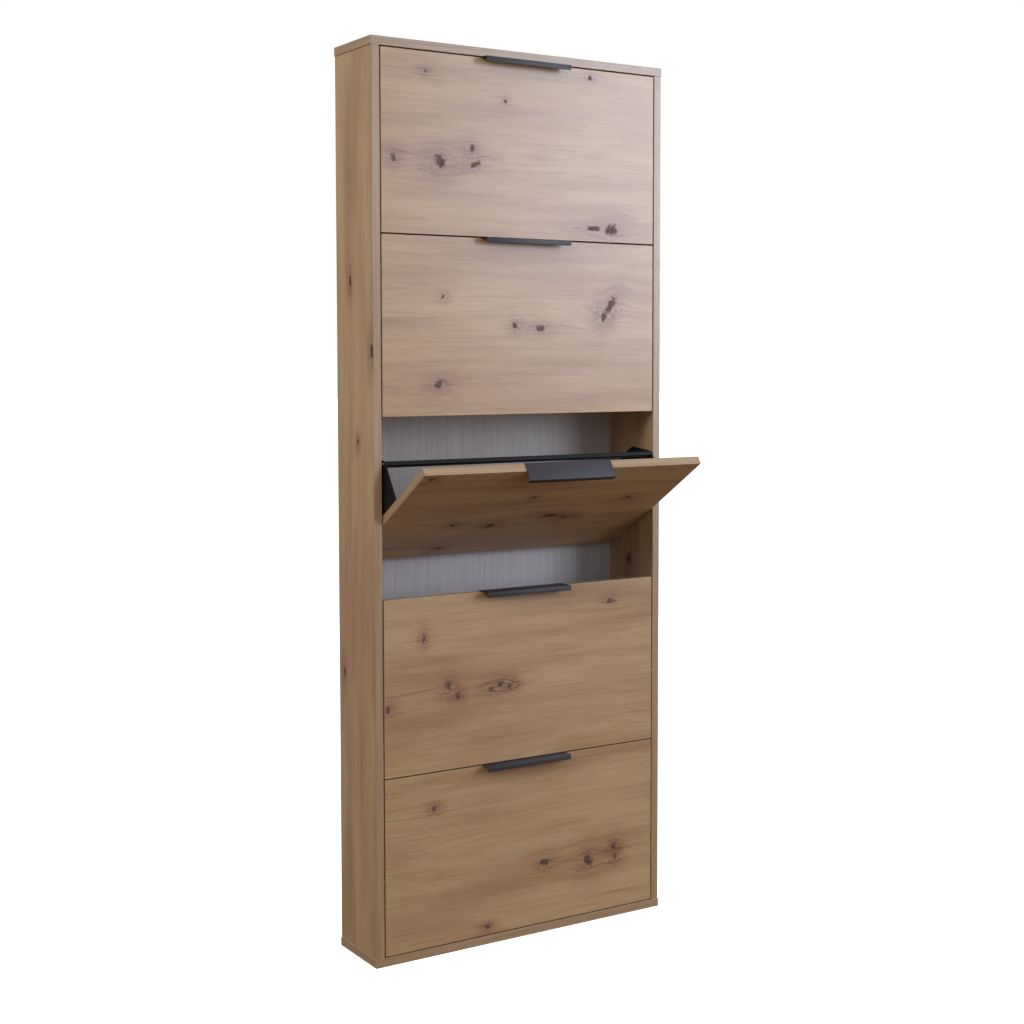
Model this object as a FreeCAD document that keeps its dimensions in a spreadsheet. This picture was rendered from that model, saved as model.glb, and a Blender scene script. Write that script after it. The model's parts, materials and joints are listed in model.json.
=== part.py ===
import FreeCAD, Part
import os
import re

import Sketcher

# A tall, shallow shoe cabinet with five tip-out bins. Millimetres, +Z up, the front faces -Y, and the
# origin is on the floor under the middle of the carcass. Pieces of the carcass are drawn with the plane
# of the closed fronts at Y = 0 and then moved forwards; pieces of a flap are drawn about its pivot.

os.makedirs("parts", exist_ok=True)
doc = FreeCAD.newDocument("shoe_cabinet")

FLAPS = 5
OPEN_FLAP = 3  # counted from the top, the one that stands open at rest

SIZES = {
    # carcass
    "width": 650,  # over the top and bottom panels
    "height": 1700,
    "depth": 150,  # front plane to the back of the back panel
    "overhang": 1.5,  # top and bottom panels past each side
    "board": 16,
    "back_board": 3,
    "back_inset": 2,  # back panel's edge inside the carcass outline
    "fold_gap": 0.4,  # between the two halves of the back panel
    "edge_round": 0.6,
    # fronts
    "front_board": 16,
    "front_gap": 2.5,  # around every front
    # tipping
    "pivot_setback": 8,  # behind the front face
    "travel": 57.5,  # degrees
    "toe_clearance": 16.627,  # open front's lower edge to the back panel
    "pin_dia": 5,
    "pin_seat": 14,
    "pin_reach": 9,  # into the bush
    "bush_dia": 8,
    "bush_seat": 10,
    "bush_flange": 12,
    "bush_lip": 1.5,
    "running_fit": 0.05,  # all round a turning pin
    "seat_fit": 0.05,  # all round a fastener in its hole
    "peg_dia": 6,
    "peg_seat": 10,
    "peg_reach": 8.5,
    "peg_collar": 10,
    "collar_thick": 3,
    "slot_radius": 70,
    "slot_fit": 0.35,
    # bins
    "plate": 2.5,
    "plate_gap": 4.5,  # carcass side to bin side
    "plate_top": 68,  # above the pivot
    "plate_waist": 20,  # height above the pivot where the rounded back starts
    "sweep_clearance": 9,  # from a bin side's rounded back to the back panel
    "rail_setback": 40,  # rail's rear face inside the rounded back's radius
    "flange_wide": 15,
    "floor_board": 4,
    "floor_setback": 64,  # floor's rear edge inside the rounded back's radius
    "floor_clearance": 2,  # from the floor's rear edge up to the rounded back
    "ledge": 2.5,
    "ledge_reach": 6,
    "slip_fit": 0.1,
    "rail_deep": 8,
    "rail_high": 10,
    "rail_groove": 4,
    "groove_deep": 3,
    # handles
    "handle_long": 190,
    "handle_sheet": 1.2,
    "handle_reach": 20,
    "handle_lip": 10,
    "handle_flange": 18,
    "handle_bend": 1.1,
    # screws
    "screw_dia": 3.5,
    "screw_long": 12,
    "head_dia": 7,
    "head_thick": 1.8,
    "flange_pitch": 65,
    "flange_screw_drop": 8,  # top screw below the rail
    "handle_pitch": 140,
    "handle_screw_drop": 10.8,  # below the front's upper edge
    # carcass fittings
    "cam_dia": 15,
    "cam_deep": 12.5,
    "cam_setback": 24,
    "cam_inset": 32,
    "bolt_dia": 6,
    "bolt_seat": 11,
    "cap_dia": 17,
    "cap_thick": 0.8,
    "dowel_dia": 8,
    "dowel_long": 30,
    "dowel_seat": 11,
    "nail_dia": 1.6,
    "nail_long": 20,
    "nail_head": 3.6,
    "nail_head_thick": 0.6,
    "nail_margin": 60,
    # wall anchors
    "anchor_leg": 25,
    "anchor_wide": 20,
    "anchor_sheet": 2,
    "anchor_pitch": 400,
    "anchor_hole": 5.5,
    "anchor_drop": 15,
}

sheet = doc.addObject("Spreadsheet::Sheet", "Sizes")
for row, (alias, value) in enumerate(SIZES.items(), start=1):
    sheet.set(f"A{row}", alias)
    sheet.set(f"B{row}", str(value))
    sheet.setAlias(f"B{row}", alias)
doc.recompute()

# Places worked out from the driving sizes, written as formulas of the sheet.
FRONT_PLANE = "(-depth / 2)"
INNER = "(width / 2 - overhang - board)"  # inner face of a carcass side
BOARD_MID = "(width / 2 - overhang - board / 2)"
SIDE_DEEP = "(depth - back_board)"
TOP = "(height - board)"  # underside of the top panel
FRONT_HALF = "(width / 2 - overhang - board - front_gap)"
FRONT_HIGH = f"((height - 2 * board - {FLAPS + 1} * front_gap) / {FLAPS})"
FRONT_BACK = "(front_board - pivot_setback)"  # inner face of a front, from the pivot
SWING_ROOM = "(depth - back_board - pivot_setback)"  # pivot to the back panel
TOE_REACH = f"({SWING_ROOM} - toe_clearance - {FRONT_BACK} * cos(travel))"
PIVOT_RISE = f"({TOE_REACH} / sin(travel))"  # above the front's lower edge
FRONT_TOP = f"({FRONT_HIGH} - {PIVOT_RISE})"
PLATE_OUT = f"({INNER} - plate_gap)"
PLATE_IN = f"({INNER} - plate_gap - plate)"
PLATE_SWEEP = f"({SWING_ROOM} - sweep_clearance)"  # radius of a bin side's back about the pivot
PLATE_REAR = f"({PLATE_SWEEP} - rail_setback)"
FLOOR_REAR = f"({PLATE_SWEEP} - floor_setback)"
FLOOR_LOW = f"(floor_clearance - sqrt({PLATE_SWEEP} ^ 2 - {FLOOR_REAR} ^ 2))"
FLOOR_TOP = f"({FLOOR_LOW} + floor_board)"
PLATE_LOW = f"({FLOOR_LOW} - ledge)"
RAIL_FRONT = f"({PLATE_REAR} - rail_deep)"
RAIL_LOW = "(plate_top - rail_high)"
RAIL_SCREW_Y = f"({PLATE_REAR} - (rail_deep - groove_deep) / 2)"
RAIL_SCREW_Z = "(plate_top - rail_high / 2)"
FLANGE_SCREW_X = f"({PLATE_OUT} - plate - (flange_wide - plate) / 2)"
FLANGE_SCREWS = [f"({RAIL_LOW} - flange_screw_drop - {step} * flange_pitch)" for step in range(3)]
HANDLE_SCREW_Z = f"({FRONT_TOP} - handle_screw_drop)"
ANCHOR_SCREW_Y = f"({SIDE_DEEP} - anchor_drop)"
PEG_Y = "(pivot_setback + slot_radius * cos(travel / 2))"
PEG_RISE = "(slot_radius * sin(travel / 2))"
CAM_PLACES = ("cam_inset", f"({SIDE_DEEP} - cam_inset)")
SIDE_NAILS = 9
PANEL_NAILS = 2  # in each half of the top and bottom edges


def pivot_height(flap):
    """Height of a flap's pivot; flap 1 is the top one."""
    return f"(board + front_gap + {FLAPS - flap} * ({FRONT_HIGH} + front_gap) + {PIVOT_RISE})"


def formula(text):
    """The text with each size's name pointing at its cell."""
    return re.sub(r"\b(" + "|".join(SIZES) + r")\b", r"Sizes.\1", text)


def bind(thing, formulas):
    for path, text in formulas.items():
        thing.setExpression(path, formula(text))


def new_body(name, flap=None):
    """An empty body called name, in the carcass's place or at a flap's pivot."""
    body = doc.addObject("PartDesign::Body", name)
    body.Label = name
    if flap == OPEN_FLAP:
        tipped = FreeCAD.Rotation(FreeCAD.Vector(1, 0, 0), SIZES["travel"])
        body.Placement = FreeCAD.Placement(FreeCAD.Vector(), tipped)
        bind(body, {"Placement.Rotation.Angle": "travel"})
    if flap:
        bind(body, {"Placement.Base.y": f"{FRONT_PLANE} + pivot_setback"})
        bind(body, {"Placement.Base.z": pivot_height(flap)})
    else:
        bind(body, {"Placement.Base.y": FRONT_PLANE})
    return body


def origin_part(body, role):
    return next(part for part in body.Origin.OriginFeatures if part.Role == role)


def new_sketch(body, plane, offset="0"):
    """A sketch on an origin plane of the body. XY looks along Z and YZ along X, and offset is the
    place along that axis. XZ looks along Y, with its normal towards -Y, so its offset is turned round."""
    sketch = body.newObject("Sketcher::SketchObject", "Outline")
    sketch.AttachmentSupport = [(origin_part(body, plane + "_Plane"), "")]
    sketch.MapMode = "FlatFace"
    along = f"-({offset})" if plane == "XZ" else offset
    bind(sketch, {"AttachmentOffset.Base.z": along})
    return sketch


def hold(sketch, element, point, across=None, up=None):
    """Fixes a point of the sketch by formulas from its origin, across, up or both."""
    here = sketch.getPoint(element, point)
    for kind, now, text in (("DistanceX", here.x, across), ("DistanceY", here.y, up)):
        if text:
            number = sketch.addConstraint(Sketcher.Constraint(kind, -1, 1, element, point, now))
            bind(sketch, {f"Constraints[{number}]": text})


def polygon(sketch, corners):
    """A closed outline through corners, each a pair of formulas."""
    count = len(corners)
    ring = [FreeCAD.Vector(3, 0, 0)]
    turn = FreeCAD.Rotation(FreeCAD.Vector(0, 0, 1), 360 / count)
    for _ in corners[1:]:
        ring.append(turn.multVec(ring[-1]))
    first = sketch.GeometryCount
    for index in range(count):
        sketch.addGeometry(Part.LineSegment(ring[index], ring[(index + 1) % count]), False)
    for index, (across, up) in enumerate(corners):
        before = first + (index - 1) % count
        sketch.addConstraint(Sketcher.Constraint("Coincident", before, 2, first + index, 1))
        hold(sketch, first + index, 1, across, up)


def rectangle(sketch, left, right, low, high):
    polygon(sketch, [(left, low), (right, low), (right, high), (left, high)])


def circle(sketch, across, up, diameter):
    element = sketch.addGeometry(Part.Circle(FreeCAD.Vector(1, 1, 0), FreeCAD.Vector(0, 0, 1), 1), False)
    hold(sketch, element, 3, across, up)
    number = sketch.addConstraint(Sketcher.Constraint("Diameter", element, 2.0))
    bind(sketch, {f"Constraints[{number}]": diameter})


def pad(body, sketch, length, turned=False, middle=False):
    """Adds the sketch's outline, along its plane's normal unless turned, or half each way."""
    feature = body.newObject("PartDesign::Pad", "Pad")
    feature.Profile = sketch
    feature.Reversed = turned
    feature.Midplane = middle
    bind(feature, {"Length": length})
    return feature


def pocket(body, sketch, length, turned=False):
    """Cuts the sketch's outline, against its plane's normal unless turned."""
    feature = body.newObject("PartDesign::Pocket", "Pocket")
    feature.Profile = sketch
    feature.Reversed = turned
    bind(feature, {"Length": length})
    return feature


def both_sides(body, features):
    """Repeats features on the other side of the middle plane X = 0."""
    mirrored = body.newObject("PartDesign::Mirrored", "BothSides")
    mirrored.Originals = features
    mirrored.MirrorPlane = (origin_part(body, "YZ_Plane"), [""])
    body.Tip = mirrored
    return mirrored


def round_edges(body, feature, edges, radius):
    fillet = body.newObject("PartDesign::Fillet", "Rounded")
    fillet.Base = (feature, edges)
    bind(fillet, {"Radius": radius})
    return fillet


def top_edges(feature):
    """Names of the edges that lie in the feature's highest face."""
    doc.recompute()
    top = feature.Shape.BoundBox.ZMax
    edges = enumerate(feature.Shape.Edges, start=1)
    return [f"Edge{number}" for number, edge in edges if edge.BoundBox.ZMin > top - 0.01]


def round_board(body, feature):
    """Softens the twelve edges of a plain board."""
    round_edges(body, feature, [f"Edge{number}" for number in range(1, 13)], "edge_round")


# ---- carcass -------------------------------------------------------------------------------------


def carcass_side(name, sign):
    """A side board between the top and bottom panels; sign is -1 on the left and 1 on the right."""
    body = new_body(name)
    inner = f"{sign} * {INNER}"
    outward = sign > 0  # a sketch's normal is +X, out of the board's inner face on the right only
    outline = new_sketch(body, "YZ", inner)
    rectangle(outline, "0", SIDE_DEEP, "board", TOP)
    round_board(body, pad(body, outline, "board", turned=not outward))

    cams = new_sketch(body, "YZ", inner)
    for place in CAM_PLACES:
        for height in ("board + cam_setback", f"{TOP} - cam_setback"):
            circle(cams, place, height, "cam_dia + 2 * seat_fit")
    pocket(body, cams, "cam_deep + seat_fit", turned=outward)

    bushes = new_sketch(body, "YZ", inner)
    for flap in range(1, FLAPS + 1):
        circle(bushes, "pivot_setback", pivot_height(flap), "bush_dia + 2 * seat_fit")
    pocket(body, bushes, "bush_seat + seat_fit", turned=outward)

    pegs = new_sketch(body, "YZ", inner)
    for flap in range(1, FLAPS + 1):
        circle(pegs, PEG_Y, f"{pivot_height(flap)} + {PEG_RISE}", "peg_dia + 2 * seat_fit")
    pocket(body, pegs, "peg_seat + seat_fit", turned=outward)

    middle = f"{sign} * {BOARD_MID}"
    for end, upward in (("board", True), (TOP, False)):
        bolts = new_sketch(body, "XY", end)
        for place in CAM_PLACES:
            circle(bolts, middle, place, "bolt_dia + 2 * seat_fit")
        pocket(body, bolts, "cam_setback", turned=upward)
        dowel = new_sketch(body, "XY", end)
        circle(dowel, middle, f"{SIDE_DEEP} / 2", "dowel_dia + 2 * seat_fit")
        pocket(body, dowel, "dowel_long - dowel_seat + seat_fit", turned=upward)

    nails = new_sketch(body, "XZ", SIDE_DEEP)
    for step in range(SIDE_NAILS):
        circle(nails, middle, side_nail_height(step), "nail_dia + 2 * seat_fit")
    pocket(body, nails, "nail_long - back_board + seat_fit", turned=True)


def side_nail_height(step):
    return f"nail_margin + {step} * (height - 2 * nail_margin) / {SIDE_NAILS - 1}"


def panel_nail_places():
    """Where the nails along the top and bottom edges stand, right of the middle."""
    return [f"{2 * step + 1} * {INNER} / {2 * PANEL_NAILS}" for step in range(PANEL_NAILS)]


def end_panel(name, low, inward, anchored):
    """The top or bottom panel. inward is True where its fittings enter from below. The bottom panel
    stands on a square underside, so only its upper edges are softened."""
    body = new_body(name)
    outline = new_sketch(body, "XY", low)
    rectangle(outline, "-width / 2", "width / 2", "0", SIDE_DEEP)
    board = pad(body, outline, "board")
    if inward:
        round_board(body, board)
    else:
        round_edges(body, board, top_edges(board), "edge_round")
    face = low if inward else f"{low} + board"

    bolts = new_sketch(body, "XY", face)
    for place in CAM_PLACES:
        circle(bolts, BOARD_MID, place, "bolt_dia + 2 * seat_fit")
    both_sides(body, [pocket(body, bolts, "bolt_seat + seat_fit", turned=inward)])

    dowel = new_sketch(body, "XY", face)
    circle(dowel, BOARD_MID, f"{SIDE_DEEP} / 2", "dowel_dia + 2 * seat_fit")
    both_sides(body, [pocket(body, dowel, "dowel_seat + seat_fit", turned=inward)])

    nails = new_sketch(body, "XZ", SIDE_DEEP)
    for place in panel_nail_places():
        circle(nails, place, f"{low} + board / 2", "nail_dia + 2 * seat_fit")
    both_sides(body, [pocket(body, nails, "nail_long - back_board + seat_fit", turned=True)])

    if anchored:
        screws = new_sketch(body, "XY", face)
        circle(screws, "anchor_pitch / 2", ANCHOR_SCREW_Y, "screw_dia + 2 * seat_fit")
        both_sides(body, [pocket(body, screws, "screw_long - anchor_sheet + seat_fit", turned=True)])


def back_half(name, sign):
    """One half of the folding back panel, nailed to the rear edges of the carcass."""
    body = new_body(name)
    outline = new_sketch(body, "XZ", SIDE_DEEP)
    fold, edge = "fold_gap / 2", "width / 2 - overhang - back_inset"
    rectangle(outline, f"{sign} * ({fold})", f"{sign} * ({edge})", "back_inset", "height - back_inset")
    pad(body, outline, "back_board", turned=True)

    for diameter, start in (("nail_dia", SIDE_DEEP), ("nail_head", "depth - nail_head_thick")):
        holes = new_sketch(body, "XZ", start)
        for across, up in nail_places():
            circle(holes, f"{sign} * {across}", up, f"{diameter} + 2 * seat_fit")
        pocket(body, holes, "back_board")

    wall = new_sketch(body, "XZ", SIDE_DEEP)
    circle(wall, f"{sign} * anchor_pitch / 2", f"{TOP} - anchor_drop", "anchor_hole")
    pocket(body, wall, "back_board")


def nail_places():
    """Across and up, right of the middle."""
    places = [(BOARD_MID, side_nail_height(step)) for step in range(SIDE_NAILS)]
    for place in panel_nail_places():
        places += [(place, "board / 2"), (place, "height - board / 2")]
    return places


def back_nails():
    body = new_body("back_nails")
    shanks = new_sketch(body, "XZ", "depth - nail_long")
    heads = new_sketch(body, "XZ", "depth - nail_head_thick")
    for across, up in nail_places():
        circle(shanks, across, up, "nail_dia")
        circle(heads, across, up, "nail_head")
    shank = pad(body, shanks, "nail_long", turned=True)
    head = pad(body, heads, "nail_head_thick", turned=True)
    both_sides(body, [shank, head])


def cam_fittings():
    """The cams that draw the corners together, their bolts, and the caps that hide them."""
    cams = new_body("cam_housings")
    discs = new_sketch(cams, "YZ", INNER)
    caps = new_body("cam_caps")
    covers = new_sketch(caps, "YZ", f"{INNER} - cap_thick")
    for place in CAM_PLACES:
        for height in ("board + cam_setback", f"{TOP} - cam_setback"):
            circle(discs, place, height, "cam_dia")
            circle(covers, place, height, "cap_dia")
    both_sides(caps, [pad(caps, covers, "cap_thick")])

    made = [pad(cams, discs, "cam_deep")]
    bolts = new_body("cam_bolts")
    rods = []
    for end, upward in (("board", True), (TOP, False)):
        mouths = new_sketch(cams, "XY", end)
        tail = f"{end} - bolt_seat" if upward else f"{end} + bolt_seat"
        shanks = new_sketch(bolts, "XY", tail)
        for place in CAM_PLACES:
            circle(mouths, BOARD_MID, place, "bolt_dia + 2 * seat_fit")
            circle(shanks, BOARD_MID, place, "bolt_dia")
        made.append(pocket(cams, mouths, "cam_setback", turned=upward))
        rods.append(pad(bolts, shanks, "bolt_seat + cam_setback - seat_fit", turned=not upward))
    both_sides(cams, made)
    both_sides(bolts, rods)


def dowels():
    body = new_body("dowels")
    rods = []
    for start in ("board - dowel_seat", f"{TOP} + dowel_seat - dowel_long"):
        ends = new_sketch(body, "XY", start)
        circle(ends, BOARD_MID, f"{SIDE_DEEP} / 2", "dowel_dia")
        rods.append(pad(body, ends, "dowel_long"))
    both_sides(body, rods)


def pivot_bushes():
    """Flanged bushes in the sides. A flange keeps a front clear of the side."""
    body = new_body("pivot_bushes")
    barrels = new_sketch(body, "YZ", INNER)
    flanges = new_sketch(body, "YZ", f"{INNER} - bush_lip")
    bores = new_sketch(body, "YZ", f"{INNER} - bush_lip")
    for flap in range(1, FLAPS + 1):
        centre = ("pivot_setback", pivot_height(flap))
        circle(barrels, *centre, "bush_dia")
        circle(flanges, *centre, "bush_flange")
        circle(bores, *centre, "pin_dia + 2 * running_fit")
    barrel = pad(body, barrels, "bush_seat")
    flange = pad(body, flanges, "bush_lip")
    bore = pocket(body, bores, "bush_lip + bush_seat", turned=True)
    both_sides(body, [barrel, flange, bore])


def stop_pegs():
    """Pegs in the sides that run in the bins' curved slots and stop the flaps at both ends."""
    body = new_body("stop_pegs")
    shanks = new_sketch(body, "YZ", f"{INNER} - peg_reach")
    collars = new_sketch(body, "YZ", f"{INNER} - collar_thick")
    for flap in range(1, FLAPS + 1):
        height = f"{pivot_height(flap)} + {PEG_RISE}"
        circle(shanks, PEG_Y, height, "peg_dia")
        circle(collars, PEG_Y, height, "peg_collar")
    shank = pad(body, shanks, "peg_reach + peg_seat")
    collar = pad(body, collars, "collar_thick")
    both_sides(body, [shank, collar])


def wall_anchors():
    """Angle brackets under the top panel, through which the cabinet is screwed to a wall."""
    body = new_body("wall_brackets")
    left, right = "(anchor_pitch - anchor_wide) / 2", "(anchor_pitch + anchor_wide) / 2"
    angle = new_sketch(body, "YZ", left)
    inner, back = f"{SIDE_DEEP} - anchor_leg", SIDE_DEEP
    polygon(
        angle,
        [
            (inner, TOP),
            (inner, f"{TOP} - anchor_sheet"),
            (f"{back} - anchor_sheet", f"{TOP} - anchor_sheet"),
            (f"{back} - anchor_sheet", f"{TOP} - anchor_leg"),
            (back, f"{TOP} - anchor_leg"),
            (back, TOP),
        ],
    )
    made = [pad(body, angle, f"{right} - {left}")]
    wall = new_sketch(body, "XZ", f"{SIDE_DEEP} - anchor_sheet")
    circle(wall, "anchor_pitch / 2", f"{TOP} - anchor_drop", "anchor_hole")
    made.append(pocket(body, wall, "anchor_sheet"))
    panel = new_sketch(body, "XY", TOP)
    circle(panel, "anchor_pitch / 2", ANCHOR_SCREW_Y, "screw_dia + 2 * seat_fit")
    made.append(pocket(body, panel, "anchor_sheet"))
    both_sides(body, made)

    screws = new_body("bracket_screws")
    shanks = new_sketch(screws, "XY", f"{TOP} - anchor_sheet")
    heads = new_sketch(screws, "XY", f"{TOP} - anchor_sheet")
    circle(shanks, "anchor_pitch / 2", ANCHOR_SCREW_Y, "screw_dia")
    circle(heads, "anchor_pitch / 2", ANCHOR_SCREW_Y, "head_dia")
    shank = pad(screws, shanks, "screw_long")
    head = pad(screws, heads, "head_thick", turned=True)
    both_sides(screws, [shank, head])


# ---- flaps: each piece is drawn closed, about its own pivot --------------------------------------


def front(name, flap):
    """A front board, with seats for its pivot pins and for the screws of the bin and handle."""
    body = new_body(name, flap)
    outline = new_sketch(body, "XZ", "-pivot_setback")
    rectangle(outline, f"-{FRONT_HALF}", FRONT_HALF, f"-{PIVOT_RISE}", FRONT_TOP)
    round_board(body, pad(body, outline, "front_board", turned=True))

    pins = new_sketch(body, "YZ", FRONT_HALF)
    circle(pins, "0", "0", "pin_dia + 2 * seat_fit")
    both_sides(body, [pocket(body, pins, "pin_seat + seat_fit")])

    flange_screws = new_sketch(body, "XZ", FRONT_BACK)
    for height in FLANGE_SCREWS:
        circle(flange_screws, FLANGE_SCREW_X, height, "screw_dia + 2 * seat_fit")
    both_sides(body, [pocket(body, flange_screws, "screw_long - plate + seat_fit", turned=True)])

    handle_screws = new_sketch(body, "XZ", FRONT_BACK)
    circle(handle_screws, "handle_pitch / 2", HANDLE_SCREW_Z, "screw_dia + 2 * seat_fit")
    both_sides(body, [pocket(body, handle_screws, "screw_long - handle_sheet + seat_fit", turned=True)])


def handle(name, flap):
    """A bent strip that hooks over the front's upper edge and turns down again as a finger lip."""
    body = new_body(name, flap)
    profile = new_sketch(body, "YZ")
    rear = FRONT_BACK
    lip = "(-pivot_setback - handle_reach)"
    polygon(
        profile,
        [
            (rear, f"{FRONT_TOP} - handle_flange"),
            (f"{rear} + handle_sheet", f"{FRONT_TOP} - handle_flange"),
            (f"{rear} + handle_sheet", f"{FRONT_TOP} + handle_sheet"),
            (lip, f"{FRONT_TOP} + handle_sheet"),
            (lip, f"{FRONT_TOP} + handle_sheet - handle_lip"),
            (f"{lip} + handle_sheet", f"{FRONT_TOP} + handle_sheet - handle_lip"),
            (f"{lip} + handle_sheet", FRONT_TOP),
            (rear, FRONT_TOP),
        ],
    )
    strip = pad(body, profile, "handle_long", middle=True)
    along = [name for name in top_edges(strip) if strip.Shape.getElement(name).BoundBox.XLength > 1]
    round_edges(body, strip, along, "handle_bend")
    screws = new_sketch(body, "XZ", FRONT_BACK)
    circle(screws, "handle_pitch / 2", HANDLE_SCREW_Z, "screw_dia + 2 * seat_fit")
    both_sides(body, [pocket(body, screws, "handle_sheet")])


def bin_side(name, flap, sign):
    """A moulded bin side: a fan-shaped plate with a screwing flange, a groove for the floor made by
    two ledges, and a slot that turns about the pivot."""
    body = new_body(name, flap)
    outward = sign > 0

    plate = new_sketch(body, "YZ", f"{sign} * {PLATE_IN}")
    fan_outline(plate)
    pad(body, plate, "plate", turned=not outward)

    flange = new_sketch(body, "YZ", f"{sign} * {PLATE_OUT}")
    rectangle(flange, FRONT_BACK, f"{FRONT_BACK} + plate", PLATE_LOW, "plate_top")
    pad(body, flange, "flange_wide", turned=outward)

    ledges = new_sketch(body, "YZ", f"{sign} * {PLATE_IN}")
    ledge_front, ledge_rear = FRONT_BACK, f"{FLOOR_REAR} - ledge"
    rectangle(ledges, ledge_front, ledge_rear, PLATE_LOW, f"{FLOOR_LOW} - slip_fit / 2")
    upper = f"{FLOOR_TOP} + slip_fit / 2"
    rectangle(ledges, ledge_front, ledge_rear, upper, f"{upper} + ledge")
    pad(body, ledges, "ledge_reach", turned=outward)

    slot = new_sketch(body, "XY")
    half = "(peg_dia / 2 + slot_fit)"
    across = (f"{sign} * ({PLATE_IN} - 1)", f"{sign} * ({PLATE_OUT} + 1)")
    rectangle(slot, *across, f"slot_radius - {half}", f"slot_radius + {half}")
    groove = body.newObject("PartDesign::Groove", "Slot")
    groove.Profile = slot
    groove.ReferenceAxis = (origin_part(body, "X_Axis"), [""])
    groove.Midplane = True
    bind(groove, {"Angle": f"travel + 2 * asin({half} / slot_radius) / 1deg"})

    flange_screws = new_sketch(body, "XZ", FRONT_BACK)
    for height in FLANGE_SCREWS:
        circle(flange_screws, f"{sign} * {FLANGE_SCREW_X}", height, "screw_dia + 2 * seat_fit")
    pocket(body, flange_screws, "plate")
    rail_screw = new_sketch(body, "YZ", f"{sign} * {PLATE_IN}")
    circle(rail_screw, RAIL_SCREW_Y, RAIL_SCREW_Z, "screw_dia + 2 * seat_fit")
    pocket(body, rail_screw, "plate", turned=outward)


def fan_outline(sketch):
    """Front edge, top edge, a short straight back, and a back and heel rounded about the pivot."""
    heel_across = f"sqrt({PLATE_SWEEP} ^ 2 - {PLATE_LOW} ^ 2)"
    reach, rise = SIZES["depth"] * 0.6, SIZES["plate_top"]  # drawn roughly, then held in place
    round_back = Part.ArcOfCircle(
        Part.Circle(FreeCAD.Vector(), FreeCAD.Vector(0, 0, 1), reach + rise / 2), -1.0, 0.1
    )
    arc = sketch.addGeometry(round_back, False)
    corners = [
        round_back.EndPoint,
        FreeCAD.Vector(reach, rise, 0),
        FreeCAD.Vector(0, rise, 0),
        FreeCAD.Vector(0, round_back.StartPoint.y, 0),
        round_back.StartPoint,
    ]
    lines = [
        sketch.addGeometry(Part.LineSegment(start, end), False)
        for start, end in zip(corners, corners[1:])
    ]
    ring = [arc, *lines]
    for before, after in zip(ring, [*lines, arc]):
        sketch.addConstraint(Sketcher.Constraint("Coincident", before, 2, after, 1))
    sketch.addConstraint(Sketcher.Constraint("Coincident", arc, 3, -1, 1))
    hold(sketch, arc, 1, heel_across, PLATE_LOW)
    hold(sketch, arc, 2, up="plate_waist")
    hold(sketch, lines[1], 1, PLATE_REAR, "plate_top")
    hold(sketch, lines[2], 1, FRONT_BACK, "plate_top")
    hold(sketch, lines[3], 1, FRONT_BACK, PLATE_LOW)


def bin_floor(name, flap):
    """A board in the bin sides' grooves, notched round their flanges at the front."""
    body = new_body(name, flap)
    outline = new_sketch(body, "XY", FLOOR_LOW)
    half = f"({PLATE_IN} - slip_fit)"
    notch = f"({PLATE_OUT} - flange_wide - slip_fit)"
    fore, behind = f"{FRONT_BACK} + slip_fit", f"{FRONT_BACK} + plate + slip_fit"
    polygon(
        outline,
        [
            (f"-{half}", behind),
            (f"-{notch}", behind),
            (f"-{notch}", fore),
            (notch, fore),
            (notch, behind),
            (half, behind),
            (half, FLOOR_REAR),
            (f"-{half}", FLOOR_REAR),
        ],
    )
    pad(body, outline, "floor_board")


def rear_rail(name, flap):
    """A grooved rail between the bin sides that keeps the shoes from falling back."""
    body = new_body(name, flap)
    profile = new_sketch(body, "YZ")
    middle = f"({RAIL_LOW} + rail_high / 2)"
    polygon(
        profile,
        [
            (RAIL_FRONT, RAIL_LOW),
            (PLATE_REAR, RAIL_LOW),
            (PLATE_REAR, "plate_top"),
            (RAIL_FRONT, "plate_top"),
            (RAIL_FRONT, f"{middle} + rail_groove / 2"),
            (f"{RAIL_FRONT} + groove_deep", f"{middle} + rail_groove / 2"),
            (f"{RAIL_FRONT} + groove_deep", f"{middle} - rail_groove / 2"),
            (RAIL_FRONT, f"{middle} - rail_groove / 2"),
        ],
    )
    pad(body, profile, f"2 * ({PLATE_IN} - slip_fit)", middle=True)
    screws = new_sketch(body, "YZ", f"{PLATE_IN} - slip_fit")
    circle(screws, RAIL_SCREW_Y, RAIL_SCREW_Z, "screw_dia + 2 * seat_fit")
    both_sides(body, [pocket(body, screws, "screw_long - plate")])


def flap_screws(name, flap):
    """The screws that hold a flap's bin sides, rail and handle."""
    body = new_body(name, flap)
    made = []

    def screws(plane, seat, places, head_outward, shank_outward):
        shanks = new_sketch(body, plane, seat)
        heads = new_sketch(body, plane, seat)
        for place in places:
            circle(shanks, *place, "screw_dia")
            circle(heads, *place, "head_dia")
        made.append(pad(body, shanks, "screw_long", turned=shank_outward))
        made.append(pad(body, heads, "head_thick", turned=head_outward))

    flange = [(FLANGE_SCREW_X, height) for height in FLANGE_SCREWS]
    screws("XZ", f"{FRONT_BACK} + plate", flange, True, False)
    strip = [("handle_pitch / 2", HANDLE_SCREW_Z)]
    screws("XZ", f"{FRONT_BACK} + handle_sheet", strip, True, False)
    screws("YZ", PLATE_OUT, [(RAIL_SCREW_Y, RAIL_SCREW_Z)], False, True)
    both_sides(body, made)


def pivot_pins(name, flap):
    body = new_body(name, flap)
    ends = new_sketch(body, "YZ", f"{FRONT_HALF} - pin_seat")
    circle(ends, "0", "0", "pin_dia")
    both_sides(body, [pad(body, ends, "pin_seat + front_gap + pin_reach")])


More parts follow.
